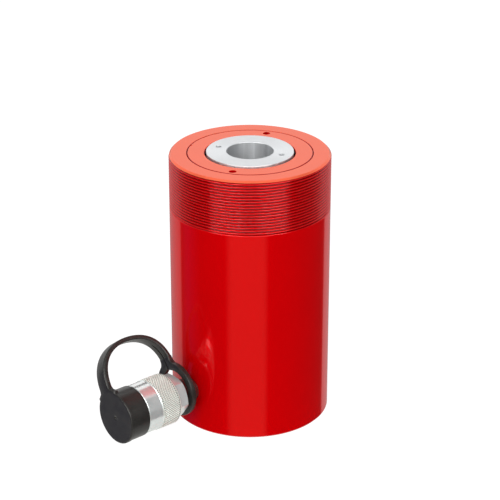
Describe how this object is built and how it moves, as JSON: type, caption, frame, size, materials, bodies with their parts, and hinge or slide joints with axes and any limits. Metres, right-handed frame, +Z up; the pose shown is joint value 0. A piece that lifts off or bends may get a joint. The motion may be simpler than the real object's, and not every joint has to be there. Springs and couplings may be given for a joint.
{
  "type": "hollow plunger cylinder",
  "caption": "Single-acting spring-return hydraulic cylinder with a hollow plunger, threaded collar, screwed-in saddle and quick coupler with a tethered dust cap.",
  "frame": {"origin": "where the cylinder's axis meets the plane of its base", "axes": "+Z up along the cylinder's axis, towards the saddle; the coupler points along -Y"},
  "size_m": [0.1142, 0.1815, 0.198],
  "materials": {
    "red_enamel": "gloss red enamel",
    "bright_steel": "ground and polished steel",
    "zinc_plate": "bright zinc plate",
    "dark_steel": "phosphated steel",
    "spring_steel": "oiled spring steel",
    "black_rubber": "matt black soft moulding",
    "nitrile": "black nitrile",
    "amber_polymer": "amber polyurethane",
    "white_polymer": "white hard plastic",
    "bronze": "bearing bronze"
  },
  "bodies": {
    "cylinder": {"cylinder_barrel": "red_enamel", "center_tube": "bright_steel", "tube_base_seal": "nitrile", "stop_ring": "red_enamel", "rod_wiper": "nitrile", "rod_bearing": "bronze", "return_spring": "spring_steel", "coupler_body": "zinc_plate", "coupler_snap_ring": "dark_steel", "coupler_valve_seat": "bright_steel", "coupler_valve_guide": "dark_steel", "coupler_valve_spring": "spring_steel", "coupler_nose_seal": "nitrile"},
    "plunger_group": {"plunger": "bright_steel", "piston_seal": "amber_polymer", "piston_backup_ring": "white_polymer", "piston_bearing": "bronze", "tube_seal": "amber_polymer", "tube_backup_ring": "white_polymer", "tube_bearing": "bronze", "saddle": "bright_steel"},
    "sleeve": {"coupler_sleeve": "zinc_plate"},
    "poppet": {"coupler_poppet": "bright_steel"},
    "cap_tether": {"dust_cap_ring": "black_rubber", "dust_cap_strap": "black_rubber"},
    "cap": {"dust_cap": "black_rubber"}
  },
  "joints": [
    {"name": "plunger_extend", "type": "slide", "parent": "cylinder", "child": "plunger_group", "axis": [0, 0, 1], "range_m": [0, 0.064], "stiffness_N_per_m": 4000, "springref_m": -0.06, "deforming": ["return_spring"]},
    {"name": "coupler_sleeve_turn", "type": "hinge", "parent": "cylinder", "child": "sleeve", "pos_m": [0, -0.05715, 0.03], "axis": [0, -1, 0], "continuous": true},
    {"name": "coupler_poppet_press", "type": "slide", "parent": "cylinder", "child": "poppet", "axis": [0, 1, 0], "range_m": [0, 0.003], "stiffness_N_per_m": 600, "springref_m": -0.004, "deforming": ["coupler_valve_spring"]},
    {"name": "dust_cap_swing", "type": "hinge", "parent": "cylinder", "child": "cap_tether", "pos_m": [0, -0.05715, 0.03], "axis": [0, -1, 0], "range_deg": [-90, 60]},
    {"name": "dust_cap_pull", "type": "slide", "parent": "cap_tether", "child": "cap", "axis": [0, -1, 0], "range_m": [0, 0.022], "deforming": ["dust_cap_strap"]}
  ]
}
